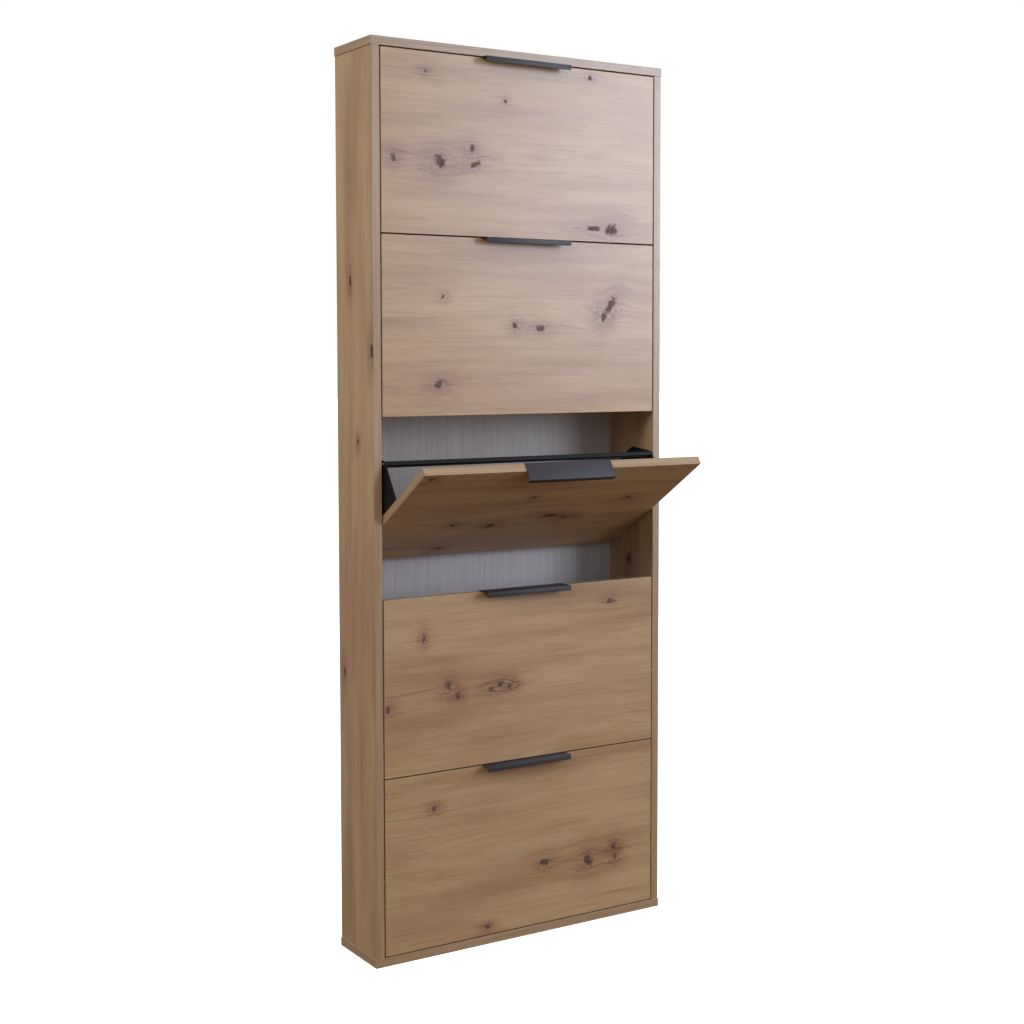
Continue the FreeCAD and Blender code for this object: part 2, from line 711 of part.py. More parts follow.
def build():
    carcass_side("left_side", -1)
    carcass_side("right_side", 1)
    end_panel("top_panel", TOP, inward=True, anchored=True)
    end_panel("bottom_panel", "0", inward=False, anchored=False)
    back_half("back_panel_left", -1)
    back_half("back_panel_right", 1)
    back_nails()
    cam_fittings()
    dowels()
    pivot_bushes()
    stop_pegs()
    wall_anchors()
    for flap in range(1, FLAPS + 1):
        front(f"flap_{flap}_front", flap)
        handle(f"flap_{flap}_handle", flap)
        bin_side(f"flap_{flap}_bin_side_left", flap, -1)
        bin_side(f"flap_{flap}_bin_side_right", flap, 1)
        bin_floor(f"flap_{flap}_bin_floor", flap)
        rear_rail(f"flap_{flap}_rear_rail", flap)
        flap_screws(f"flap_{flap}_screws", flap)
        pivot_pins(f"flap_{flap}_pivot_pins", flap)
    doc.recompute()


def check():
    """Stops if anything failed to build or a cut took nothing away."""
    for thing in doc.Objects:
        if {"Invalid", "Error"} & set(thing.State):
            raise RuntimeError(f"{thing.Name} of {thing.InList and thing.InList[0].Name} failed")
        if thing.TypeId in ("PartDesign::Pocket", "PartDesign::Groove"):
            if thing.Shape.Volume > thing.BaseFeature.Shape.Volume - 0.01:
                raise RuntimeError(f"{thing.Name} cuts nothing")


def export():
    for body in doc.Objects:
        if body.TypeId != "PartDesign::Body":
            continue
        shape = body.Shape
        if shape.isNull() or not shape.isValid():
            raise RuntimeError(f"{body.Label} has no sound shape")
        shape.exportStep(f"parts/{body.Label}.step")
        print(f"{body.Label}: {len(shape.Solids)} solids, {shape.Volume / 1000:.1f} cm3")


build()
check()
export()
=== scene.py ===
import json
from math import cos, radians, sin

import bmesh
import bpy
from mathutils import Euler, Matrix, Vector


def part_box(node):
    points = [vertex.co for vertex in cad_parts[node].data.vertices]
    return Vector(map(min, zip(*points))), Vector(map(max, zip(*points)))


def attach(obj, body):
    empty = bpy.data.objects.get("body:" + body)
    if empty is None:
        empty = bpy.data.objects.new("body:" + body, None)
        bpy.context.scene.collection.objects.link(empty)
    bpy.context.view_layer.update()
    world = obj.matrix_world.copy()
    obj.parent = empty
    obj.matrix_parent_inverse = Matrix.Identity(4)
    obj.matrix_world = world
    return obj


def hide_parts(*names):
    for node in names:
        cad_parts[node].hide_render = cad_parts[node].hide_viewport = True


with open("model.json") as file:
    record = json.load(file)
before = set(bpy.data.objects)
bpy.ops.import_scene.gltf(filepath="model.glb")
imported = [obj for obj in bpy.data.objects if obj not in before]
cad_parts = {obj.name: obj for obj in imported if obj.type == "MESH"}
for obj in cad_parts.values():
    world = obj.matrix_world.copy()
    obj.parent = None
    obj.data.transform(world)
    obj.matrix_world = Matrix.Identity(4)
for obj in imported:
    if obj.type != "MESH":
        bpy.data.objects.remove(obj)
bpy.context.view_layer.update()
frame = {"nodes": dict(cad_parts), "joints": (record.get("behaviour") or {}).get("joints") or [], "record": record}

MM = 0.001
SIDE_FACING = Euler((0, radians(-90), 0))  # a board in a side, its grain upright
LYING = Euler((0, 0, 0))  # a level board, its grain from side to side


def rgb(red, green, blue):
    """A display colour out of 255 as the linear colour that sockets take."""
    parts = [part / 255 for part in (red, green, blue)]
    return (*(p / 12.92 if p <= 0.04045 else ((p + 0.055) / 1.055) ** 2.4 for p in parts), 1)


def middle(low, high):
    return (low + high) / 2


# ---- bench: how pieces are started, edited and finished ----------------------------------------------


def take(piece):
    """Makes this piece the only one selected, and the active one."""
    bpy.ops.object.select_all(action="DESELECT")
    piece.select_set(True)
    bpy.context.view_layer.objects.active = piece


def start(name, add, sides=(1, 1, 1), **settings):
    """A primitive at its size and place, its place put into its mesh."""
    bpy.ops.object.select_all(action="DESELECT")
    add(**settings)
    piece = bpy.context.object
    piece.name = name
    piece.scale = sides
    bpy.ops.object.transform_apply(location=True, rotation=True, scale=True)
    return piece


def edit(piece):
    take(piece)
    bpy.ops.object.mode_set(mode="EDIT")
    bpy.ops.mesh.select_all(action="DESELECT")


def pick(kind, test):
    """While editing, selects only the faces, edges or corners that pass the test."""
    bpy.ops.mesh.select_all(action="DESELECT")
    bpy.ops.mesh.select_mode(type=kind)
    shape = bmesh.from_edit_mesh(bpy.context.object.data)
    parts = {"FACE": shape.faces, "EDGE": shape.edges, "VERT": shape.verts}[kind]
    for part in parts:
        if test(part):
            part.select_set(True)
    bmesh.update_edit_mesh(bpy.context.object.data)


def pull(x=0.0, y=0.0, z=0.0):
    """Extrudes what is selected by that much."""
    bpy.ops.mesh.extrude_region_move(TRANSFORM_OT_translate={"value": (x, y, z)})


def swell(factor):
    """Scales what is selected about the Z axis, which turned pieces are made on."""
    bpy.ops.transform.resize(value=(factor, factor, 1), center_override=(0, 0, 0))


def done_editing():
    bpy.ops.mesh.select_all(action="SELECT")
    bpy.ops.mesh.normals_make_consistent(inside=False)
    bpy.ops.object.mode_set(mode="OBJECT")


def modify(piece, kind, **settings):
    take(piece)
    modifier = piece.modifiers.new(kind.lower(), kind)
    for name, value in settings.items():
        setattr(modifier, name, value)
    bpy.ops.object.modifier_apply(modifier=modifier.name)


def ease_edges(piece, width, segments=2, sharp=30):
    modify(
        piece,
        "BEVEL",
        width=width,
        segments=segments,
        limit_method="ANGLE",
        angle_limit=radians(sharp),
    )
    take(piece)
    bpy.ops.object.shade_smooth_by_angle(angle=radians(sharp))


def copied(piece, name, moved):
    """A copy with its own mesh, moved by that matrix."""
    twin = piece.copy()
    twin.name = name
    twin.data = piece.data.copy()
    twin.data.transform(moved)
    bpy.context.scene.collection.objects.link(twin)
    return twin


def joined(pieces, name):
    bpy.ops.object.select_all(action="DESELECT")
    for piece in pieces:
        piece.select_set(True)
    bpy.context.view_layer.objects.active = pieces[0]
    bpy.ops.object.join()
    pieces[0].name = name
    return pieces[0]


def discard(*pieces):
    for piece in pieces:
        bpy.data.objects.remove(piece)


def loose_parts(node):
    """The box of each separate solid in a CAD node, as (low, high)."""
    shape = bmesh.new()
    shape.from_mesh(frame["nodes"][node].data)
    bmesh.ops.remove_doubles(shape, verts=shape.verts, dist=1e-6)
    waiting = set(shape.verts)
    boxes = []
    while waiting:
        group = [waiting.pop()]
        for corner in group:
            for edge in corner.link_edges:
                other = edge.other_vert(corner)
                if other in waiting:
                    waiting.remove(other)
                    group.append(other)
        places = [corner.co for corner in group]
        low = Vector([min(place[axis] for place in places) for axis in range(3)])
        high = Vector([max(place[axis] for place in places) for axis in range(3)])
        boxes.append((low, high))
    shape.free()
    return sorted(boxes, key=lambda box: box[0][:])


def stands_for(piece, node, material):
    """The piece takes a CAD node's place, and rides where the node does."""
    bodies = frame["record"]["behaviour"]["bodies"]
    body = next(name for name, nodes in bodies.items() if node in nodes)
    piece.data.materials.clear()
    piece.data.materials.append(material)
    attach(piece, body)
    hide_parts(node)


# ---- finishes --------------------------------------------------------------------------------------


class Wire:
    """A value in a finish's nodes. Arithmetic on it adds Math nodes."""

    def __init__(self, finish, socket):
        self.finish = finish
        self.socket = socket

    def __add__(self, other):
        return self.finish.maths("ADD", self, other)

    def __sub__(self, other):
        return self.finish.maths("SUBTRACT", self, other)

    def __mul__(self, other):
        return self.finish.maths("MULTIPLY", self, other)

    def __truediv__(self, other):
        return self.finish.maths("DIVIDE", self, other)

    def __abs__(self):
        return self.finish.maths("ABSOLUTE", self)

    __radd__ = __add__
    __rmul__ = __mul__


# The colour mixer's sockets share their names with its other kinds, so they are known by place.
MIX_SHARE = 0
MIX_FIRST = 6
MIX_SECOND = 7
MIX_COLOUR = 2


class Finish:
    """A material whose nodes are added by plain calls. Constants go straight on its shader."""

    def __init__(self, name, **constants):
        self.material = bpy.data.materials.new(name)
        self.material.use_nodes = True
        self.tree = self.material.node_tree
        self.shader = self.tree.nodes["Principled BSDF"]
        for socket, value in constants.items():
            self.shader.inputs[socket.replace("_", " ")].default_value = value

    def add(self, kind, settings, inputs, output=0):
        made = self.tree.nodes.new(kind)
        for name, value in settings.items():
            setattr(made, name, value)
        for name, value in inputs.items():
            self.plug(made.inputs[name], value)
        return Wire(self, made.outputs[output])

    def plug(self, socket, value):
        if isinstance(value, Wire):
            self.tree.links.new(value.socket, socket)
        else:
            socket.default_value = value

    def drive(self, socket, value):
        self.plug(self.shader.inputs[socket], value)

    def maths(self, operation, *values):
        return self.add("ShaderNodeMath", {"operation": operation}, dict(enumerate(values)))

    def place(self, centre=(0, 0, 0), facing=LYING):
        """Object coordinates measured from centre, along the axes of a board that faces that way."""
        where = self.add("ShaderNodeTexCoord", {}, {}, output="Object")
        settings = {"vector_type": "TEXTURE"}
        return self.add("ShaderNodeMapping", settings, {0: where, 1: centre, 2: facing})

    def split(self, vector):
        made = self.add("ShaderNodeSeparateXYZ", {}, {0: vector})
        outputs = made.socket.node.outputs
        return [Wire(self, outputs[axis]) for axis in range(3)]

    def join(self, x, y, z):
        return self.add("ShaderNodeCombineXYZ", {}, {0: x, 1: y, 2: z})

    def noise(self, vector, scale=1.0, detail=2.0, roughness=0.5):
        inputs = {"Vector": vector, "Scale": scale, "Detail": detail, "Roughness": roughness}
        return self.add("ShaderNodeTexNoise", {}, inputs)

    def cells(self, vector, scale, output="Distance"):
        return self.add("ShaderNodeTexVoronoi", {}, {"Vector": vector, "Scale": scale}, output)

    def between(self, value, low, high):
        """0 up to low, 1 from high, and smooth in between; low may be the larger."""
        settings = {"interpolation_type": "SMOOTHSTEP"}
        return self.add("ShaderNodeMapRange", settings, {0: value, 1: low, 2: high})

    def mix(self, first, second, share):
        inputs = {MIX_SHARE: share, MIX_FIRST: first, MIX_SECOND: second}
        return self.add("ShaderNodeMix", {"data_type": "RGBA"}, inputs, output=MIX_COLOUR)

    def shade(self, colour, amount):
        """colour made lighter or darker by a varying amount."""
        grey = self.join(amount, amount, amount)
        inputs = {MIX_SHARE: 1.0, MIX_FIRST: colour, MIX_SECOND: grey}
        settings = {"data_type": "RGBA", "blend_type": "MULTIPLY"}
        return self.add("ShaderNodeMix", settings, inputs, output=MIX_COLOUR)

    def bump(self, height, depth):
        """Relief of that depth in metres where height goes from 0 to 1."""
        normal = self.add("ShaderNodeBump", {}, {"Height": height, "Distance": depth, "Strength": 1.0})
        self.drive("Normal", normal)


OAK_PALE = rgb(204, 171, 132)
OAK_TAN = rgb(188, 153, 114)
OAK_ROSE = rgb(184, 144, 112)
OAK_DUSK = rgb(150, 112, 80)
KNOT_ROSE = rgb(158, 112, 88)
KNOT_BROWN = rgb(104, 68, 54)
KNOT_CRACK = rgb(48, 26, 22)
EDGE_PALE = rgb(184, 156, 124)
EDGE_TAN = rgb(168, 138, 105)
GLUE_LINE = rgb(96, 70, 50)
VEIN_SLENDERNESS = 8  # a knot longer than this many times its height is drawn as a dark vein


def knot_shape(along, across, knot):
    """Along and across from a knot's middle, in its own half lengths. A knot is (along, up, half
    length, half height, slant) from the board's middle, in millimetres and degrees."""
    knot_along, knot_up, long, high, slant = knot
    du = along - knot_along * MM
    dv = across - knot_up * MM
    turn = radians(slant)
    if slant:
        du, dv = du * cos(turn) + dv * sin(turn), dv * cos(turn) - du * sin(turn)
    return du / (long * MM), dv / (high * MM)


def oak_knots(finish, along, across, flow, ragged, lumps, knots):
    """How far each knot colours its place: the cloud about it, its heart, rim and veins. The grain's
    flow comes back too, bent to go round the knots."""
    cloud, heart, rim, vein = 0.0, 0.0, 0.0, 0.0
    for knot in knots:
        du, dv = knot_shape(along, across, knot)
        long, high = knot[2:4]
        if long > VEIN_SLENDERNESS * high:
            line = du * du + dv * dv + ragged * 1.5
            vein = finish.maths("MAXIMUM", finish.between(line, 1.6, 0.1), vein)
            continue
        du, dv = du + lumps * 3.2, dv + ragged * 1.8
        round_about = du * du + dv * dv
        near = finish.maths("EXPONENT", (du * du * 0.05 + dv * dv * 0.2) * -1)
        flow = flow - dv * near * (high * MM * 0.8)
        cloud = finish.maths("EXPONENT", (du * du * 0.05 + dv * dv * 0.12) * -1) + cloud
        spot = finish.maths("MAXIMUM", abs(du), abs(dv)) * 0.7 + round_about * 0.4 + ragged * 1.6
        heart = finish.maths("MAXIMUM", finish.between(spot, 1.5, 0.3), heart)
        rim = finish.maths("MAXIMUM", finish.between(abs(spot - 0.5), 0.42, 0.08), rim)
    return finish.maths("MINIMUM", cloud, 1.0), heart, rim, vein, flow


def edge_band(finish, place, halves, seed):
    """The colour of the band round a board's edges, and where it shows."""
    along, across, deep = place
    half_long, _, half_thick = halves
    skin = 0.5 * MM  # the decor on a board's faces, which the band stops short of
    shows = finish.between(abs(deep), half_thick - 0.35 * MM, half_thick - skin)
    at_the_ends = finish.between(abs(along), half_long - 0.7 * MM, half_long - skin)
    run = along + (across - along) * at_the_ends
    grain = finish.noise(finish.join(run * 4, deep * 260, seed + 5), detail=3.0)
    colour = finish.mix(EDGE_PALE, EDGE_TAN, finish.between(grain, 0.35, 0.65))
    glue = finish.between(abs(deep), half_thick - 0.75 * MM, half_thick - skin)
    return finish.mix(colour, GLUE_LINE, glue * 0.5), shows


def oak_board(finish, centre, facing, halves, knots, seed):
    """Knotty oak decor. halves are half the board's length, width and thickness. Each noise is
    stretched along the grain by its own number of features per metre along and across."""
    along, across, deep = finish.split(finish.place(centre, facing))
    wander = finish.noise(finish.join(along * 1.8, across * 6, seed), detail=3.0) - 0.5
    flow = across + wander * 0.03
    ragged = finish.noise(finish.join(along * 170, across * 210, seed), detail=3.0, roughness=0.6) - 0.5
    lumps = finish.noise(finish.join(along * 55, across * 75, seed + 2), detail=2.0) - 0.5
    cloud, heart, rim, vein, flow = oak_knots(finish, along, across, flow, ragged, lumps, knots)

    bands = finish.noise(finish.join(along * 2.0, flow * 24, seed + 3.1), detail=5.0, roughness=0.6)
    tint = finish.noise(finish.join(along * 3.2, flow * 12, seed + 7.7), detail=3.0)
    streaks = finish.noise(finish.join(along * 11, flow * 290, seed + 1.3), detail=5.0, roughness=0.7)
    lines = finish.noise(finish.join(along * 6 + wander, flow * 560, seed + 9), detail=3.0)
    fibres = finish.noise(finish.join(along * 34, flow * 1300, seed), detail=2.0, roughness=0.6)
    curl = finish.noise(finish.join(along * 75 + flow * 120, flow * 30, seed + 4), detail=2.0)
    tone = bands * 0.5 + streaks * 0.5
    colour = finish.mix(OAK_PALE, OAK_TAN, finish.between(tone, 0.4, 0.58))
    colour = finish.mix(colour, OAK_ROSE, finish.between(tint, 0.46, 0.66) * 0.55)
    colour = finish.mix(colour, OAK_DUSK, finish.between(bands, 0.48, 0.7) * 0.36)
    colour = finish.mix(colour, OAK_DUSK, finish.between(lines, 0.54, 0.7) * 0.5)

    smoke = finish.between(streaks * 0.7 + ragged * 0.4, 0.2, 0.46)
    colour = finish.mix(colour, KNOT_ROSE, cloud * (smoke * 0.8 + 0.2))
    colour = finish.mix(colour, KNOT_BROWN, cloud * finish.between(lines + ragged * 0.2, 0.5, 0.64) * 0.6)
    colour = finish.mix(colour, KNOT_BROWN, vein * 0.36)
    colour = finish.mix(colour, KNOT_BROWN, heart * 0.9)
    colour = finish.mix(colour, KNOT_CRACK, rim * finish.between(lumps + ragged, -0.14, 0.1) * 0.8)

    specks = finish.join(along + wander * 0.02, across * 1.4, seed * 1.7)
    pin = finish.between(finish.cells(specks, 14.0) + ragged * 0.05, 0.045, 0.015)
    rare = finish.split(finish.cells(specks, 14.0, "Color"))[0]
    colour = finish.mix(colour, KNOT_CRACK, pin * finish.between(rare, 0.62, 0.66) * 0.55)
    colour = finish.shade(colour, fibres * 0.3 + curl * 0.14 + streaks * 0.38 + 0.59)

    band, band_shows = edge_band(finish, (along, across, deep), halves, seed)
    finish.drive("Base Color", finish.mix(colour, band, band_shows))
    finish.drive("Roughness", streaks * 0.12 + fibres * 0.1 + heart * 0.3 + 0.27)
    finish.bump(fibres * 0.6 + streaks * 0.4 - heart * 0.6, 0.04 * MM)
    return finish.material


def linen_board():
    """Light grey decor with a woven look, its warp upright."""
    finish = Finish("grey_linen_decor", Roughness=0.6)
    x, y, z = finish.split(finish.place())
    warp = finish.noise(finish.join(x * 700, y, z * 12), detail=2.0)
    weft = finish.noise(finish.join(x * 18, y, z * 900), detail=2.0)
    slub = finish.noise(finish.join(x * 90, y, z * 3), detail=2.0)
    cloth = warp * 0.5 + weft * 0.25 + slub * 0.25
    colour = finish.mix(rgb(174, 174, 181), rgb(206, 206, 214), finish.between(cloth, 0.3, 0.7))
    finish.drive("Base Color", colour)
    finish.drive("Roughness", cloth * 0.2 + 0.5)
    finish.bump(cloth, 0.08 * MM)
    return finish.material


def powder_coat():
    """Anthracite powder coat with its fine orange peel."""
    finish = Finish("anthracite_powder_coat", Specular_IOR_Level=0.4)
    where = finish.place()
    peel = finish.noise(where, 1400.0, detail=2.0)
    wear = finish.noise(where, 60.0, detail=4.0)
    colour = finish.mix(rgb(48, 43, 48), rgb(58, 53, 59), wear)
    finish.drive("Base Color", colour)
    finish.drive("Roughness", peel * 0.15 + wear * 0.1 + 0.45)
    finish.bump(peel, 0.03 * MM)
    return finish.material


def moulded_plastic(name, dark, light, dullness=0.35, shine=0.5):
    """Spark-eroded plastic: fine leathery grain and a dull sheen."""
    finish = Finish(name, Specular_IOR_Level=shine)
    where = finish.place()
    pits = finish.cells(where, 900.0)
    patches = finish.noise(where, 35.0, detail=3.0)
    finish.drive("Base Color", finish.mix(dark, light, patches * 0.6 + pits * 0.4))
    finish.drive("Roughness", pits * 0.2 + patches * 0.15 + dullness)
    finish.bump(pits, 0.05 * MM)
    return finish.material


def black_hardboard():
    """Black-faced hardboard, with a few dusty streaks along it."""
    finish = Finish("black_hardboard", Specular_IOR_Level=0.3)
    x, y, z = finish.split(finish.place())
    dust = finish.noise(finish.join(x * 14, y * 240, z * 240), detail=3.0)
    grain = finish.noise(finish.join(x, y, z), 900.0, detail=1.0)
    finish.drive("Base Color", finish.mix(rgb(24, 24, 26), rgb(42, 42, 44), dust))
    finish.drive("Roughness", grain * 0.2 + 0.5)
    finish.bump(grain, 0.05 * MM)
    return finish.material


def zinc_plate():
    """Bright zinc on steel, clouded and finely scratched."""
    finish = Finish("bright_zinc", Metallic=1.0)
    where = finish.place()
    cloud = finish.noise(where, 220.0, detail=3.0)
    scratches = finish.noise(where, 2600.0)
    colour = finish.mix(rgb(176, 178, 180), rgb(206, 207, 204), cloud)
    finish.drive("Base Color", colour)
    finish.drive("Roughness", cloud * 0.25 + scratches * 0.1 + 0.15)
    finish.bump(scratches, 0.01 * MM)
    return finish.material


def raw_beech():
    finish = Finish("raw_beech")
    x, y, z = finish.split(finish.place())
    fleck = finish.noise(finish.join(x * 1500, y * 1500, z * 160), detail=2.0)
    finish.drive("Base Color", finish.mix(rgb(214, 178, 138), rgb(184, 142, 102), fleck))
    finish.drive("Roughness", fleck * 0.2 + 0.55)
    finish.bump(fleck, 0.05 * MM)
    return finish.material


def finish_node(name, material):
    mesh = frame["nodes"][name].data
    mesh.materials.clear()
    mesh.materials.append(material)


# Knots of each front: along, up, half length and half height in millimetres, and slant in degrees.
FRONT_KNOTS = {
    "flap_1": [(-183, -31, 10, 14, 30), (-232, -22, 50, 1.6, -8), (-280, -30, 5, 8, 0),
               (-115, -4, 6, 8, -20), (-110, -33, 11, 5, 20), (-214, 130, 4, 4, 0),
               (152, 150, 5, 5, 0), (-42, 89, 4, 4, 0), (205, -141, 13, 11, 20), (160, -140, 15, 5, 0)],
    "flap_2": [(201, 45, 7, 20, -38), (185, 20, 6, 9, -20), (36, -2, 8, 6, 0), (-21, 3, 5, 6, 0),
               (-187, -107, 9, 8, 15), (-178, 55, 4, 4, 0)],
    "flap_3": [(-285, 150, 6, 6, 0), (-138, -136, 9, 6, 0), (-150, -40, 6, 5, 0), (-63, -50, 9, 7, 10),
               (62, -22, 14, 7, -8), (92, -30, 8, 5, 0), (-20, 60, 4, 4, 0), (210, 40, 6, 5, 0)],
    "flap_4": [(-78, -22, 8, 5, 0), (-56, -15, 10, 6, 10), (-36, -20, 7, 6, 0), (-171, -6, 6, 9, 0),
               (-149, -27, 5, 7, 0), (-245, -12, 60, 2, 4), (-222, 88, 3, 8, 0), (-298, -38, 5, 7, 0),
               (202, 125, 6, 5, 0)],
    "flap_5": [(149, -59, 9, 14, 12), (95, -52, 50, 1.4, -5), (47, -46, 9, 7, 0),
               (213, -39, 5, 9, 0), (213, -62, 5, 7, 0), (-202, 98, 5, 5, 0), (-87, -150, 5, 5, 0)],
}
SIDE_KNOTS = {
    "left_side": [(418, 17, 9, 5, 0), (288, -68, 12, 6, 0), (-318, 51, 9, 5, 0), (120, -10, 5, 4, 0)],
    "right_side": [(-143, 8, 12, 8, 0), (510, -20, 9, 6, 0)],
}
PANEL_KNOTS = [(-140, 10, 9, 6, 0), (190, -22, 7, 5, 0)]


def finish_oak():
    shut_low, shut_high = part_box("flap_1_front")
    wide, thick, high = shut_high - shut_low
    halves = (wide / 2, high / 2, thick / 2)
    from_pivot = middle(shut_low, shut_high) - Vector(frame["joints"][0]["pos_m"])
    for turn, joint in enumerate(frame["joints"]):
        flap = joint["child"]
        tilt = tilt_at_rest(joint)
        centre = Vector(joint["pos_m"]) + Matrix.Rotation(tilt, 3, "X") @ from_pivot
        facing = Euler((radians(90) + tilt, 0, 0))
        oak = oak_board(Finish(f"oak_{flap}"), centre, facing, halves, FRONT_KNOTS[flap], 11.3 * turn)
        finish_node(f"{flap}_front", oak)
    boards = [(side, SIDE_FACING, knots) for side, knots in SIDE_KNOTS.items()]
    boards += [("top_panel", LYING, PANEL_KNOTS), ("bottom_panel", LYING, PANEL_KNOTS)]
    for turn, (board, facing, knots) in enumerate(boards):
        low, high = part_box(board)
        sides = facing.to_matrix().transposed() @ (high - low)
        halves = [abs(side) / 2 for side in sides]
        oak = oak_board(Finish(f"oak_{board}"), middle(low, high), facing, halves, knots, 70 + 9 * turn)
        finish_node(board, oak)


def finish_the_rest():
    linen = linen_board()
    coat = powder_coat()
    plastic = moulded_plastic("black_plastic", rgb(12, 12, 13), rgb(20, 20, 21), 0.5, 0.25)
    nylon = moulded_plastic("natural_nylon", rgb(222, 221, 214), rgb(236, 235, 230))
    cap = moulded_plastic("oak_coloured_plastic", rgb(186, 160, 132), rgb(198, 174, 146))
    hardboard = black_hardboard()
    zinc = zinc_plate()
    beech = raw_beech()
    finishes = {
        "grey_back_board": linen,
        "anthracite_metal": coat,
        "black_plastic": plastic,
        "black_board": hardboard,
        "zinc_steel": zinc,
        "oak_plastic": cap,
        "white_nylon": nylon,
        "beech": beech,
    }
    for part in frame["record"]["subparts"]:
        if part["material_slot"] in finishes:
            finish_node(part["node"], finishes[part["material_slot"]])
    return finishes


# ---- hardware ----------------------------------------------------------------------------------------


def facing_up(face):
    return face.normal.z > 0.9


def facing_down(face):
    return face.normal.z < -0.9


def bent_handle(coat):
    """One strip of sheet: lip, plate over the front's upper edge, and flange screwed on behind."""
    low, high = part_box("flap_1_handle")
    sheet = 1.2 * MM
    lip = 10 * MM
    bend = 0.9 * MM
    lip_corner = 2.5 * MM
    flange_corner = 3 * MM
    front, back = low.y + sheet / 2, high.y - sheet / 2
    top = high.z - sheet / 2
    handle = start(
        "flap_1_bent_handle",
        bpy.ops.mesh.primitive_plane_add,
        size=1,
        location=(0, front, middle(high.z - lip, top)),
        rotation=(radians(90), 0, 0),
        sides=(high.x - low.x, top - high.z + lip, 1),
    )
    edit(handle)
    pick("EDGE", lambda edge: min(end.co.z for end in edge.verts) > top - MM)
    pull(y=back - front)
    pull(z=low.z - top)

    def is_bend(edge):
        first, last = (end.co for end in edge.verts)
        return min(first.z, last.z) > top - MM and abs(first.y - last.y) < MM

    pick("EDGE", is_bend)
    bpy.ops.mesh.bevel(offset=bend, segments=4, affect="EDGES")
    pick("VERT", lambda end: end.co.y < front + MM and end.co.z < top - lip / 2)
    bpy.ops.mesh.bevel(offset=lip_corner, segments=5, affect="VERTICES")
    pick("VERT", lambda end: end.co.y > back - MM and end.co.z < top - lip)
    bpy.ops.mesh.bevel(offset=flange_corner, segments=5, affect="VERTICES")
    done_editing()
    modify(handle, "SOLIDIFY", thickness=sheet, offset=0)
    edit(handle)
    done_editing()
    ease_edges(handle, 0.18 * MM)
    first = frame["joints"][0]
    for joint in frame["joints"][1:]:
        flap = joint["child"]
        twin = copied(handle, f"{flap}_bent_handle", carried(first, joint))
        stands_for(twin, f"{flap}_handle", coat)
    stands_for(handle, "flap_1_handle", coat)


def carried(first, joint):
    """Takes a piece from the first flap's place to another flap's, tilted as it stands at rest."""
    back = Matrix.Translation(-Vector(first["pos_m"]))
    return Matrix.Translation(joint["pos_m"]) @ Matrix.Rotation(tilt_at_rest(joint), 4, "X") @ back


def tilt_at_rest(joint):
    return radians(-joint["range_deg"][0])  # a flap that stands open at rest shuts by this much


def turned_head(name, radius, thick, crown):
    """A round head on the Z axis with its top at the origin, crowned by extrusion."""
    head = start(
        name,
        bpy.ops.mesh.primitive_cylinder_add,
        vertices=24,
        radius=radius,
        depth=thick - crown,
        location=(0, 0, -middle(thick, crown)),
    )
    edit(head)
    pick("FACE", facing_up)
    for rise, narrowing in ((0.6, 0.82), (0.3, 0.75), (0.1, 0.6)):
        pull(z=crown * rise)
        swell(narrowing)
    return head


def shank_under(radius, neck, long, tip):
    """Extrudes the shank and its point from under a head that is being edited."""
    pick("FACE", facing_down)
    bpy.ops.mesh.inset(thickness=radius - neck)
    pull(z=tip - long)
    pull(z=-tip)
    swell(0.12)
    done_editing()


def cross_recess(head, wide, slit, deep):
    """Cuts the driver's cross with two tapered blades."""
    blades = []
    for turn in (0, 90):
        blade = start(
            "blade",
            bpy.ops.mesh.primitive_cube_add,
            size=1,
            sides=(wide, slit, deep * 2),
            rotation=(0, 0, radians(turn)),
        )
        edit(blade)
        pick("FACE", facing_down)
        swell(0.45)
        done_editing()
        blades.append(blade)
    for blade in blades:
        modify(head, "BOOLEAN", operation="DIFFERENCE", object=blade, solver="EXACT")
    discard(*blades)


def screw():
    """Pan-head wood screw on the Z axis, 3.5 by 12 mm, with a cross recess."""
    head_radius = 3.5 * MM
    piece = turned_head("screw", head_radius, thick=1.8 * MM, crown=0.8 * MM)
    shank_under(head_radius, neck=1.7 * MM, long=12 * MM, tip=2.2 * MM)
    cross_recess(piece, wide=3.8 * MM, slit=0.75 * MM, deep=1.2 * MM)
    ease_edges(piece, 0.06 * MM, segments=1)
    return piece


def nail():
    """Domed nail on the Z axis, 1.6 by 19.4 mm."""
    head_radius = 1.8 * MM
    piece = turned_head("nail", head_radius, thick=0.6 * MM, crown=0.35 * MM)
    shank_under(head_radius, neck=0.8 * MM, long=19.4 * MM, tip=2.5 * MM)
    ease_edges(piece, 0.05 * MM, segments=1)
    return piece


def cap():
    """Push-in cover, dished inside its rim, with a pip in the middle."""
    thick = 0.8 * MM
    piece = start(
        "cap",
        bpy.ops.mesh.primitive_cylinder_add,
        vertices=48,
        radius=8.5 * MM,
        depth=thick * 0.6,
        location=(0, 0, -thick * 0.7),
    )
    edit(piece)
    pick("FACE", facing_up)
    pull(z=thick * 0.4)
    swell(0.955)
    bpy.ops.mesh.inset(thickness=1.1 * MM)
    bpy.ops.mesh.inset(thickness=0.4 * MM, depth=-0.18 * MM)
    bpy.ops.mesh.inset(thickness=5 * MM)
    pull(z=0.1 * MM)
    swell(0.7)
    done_editing()
    ease_edges(piece, 0.08 * MM)
    return piece


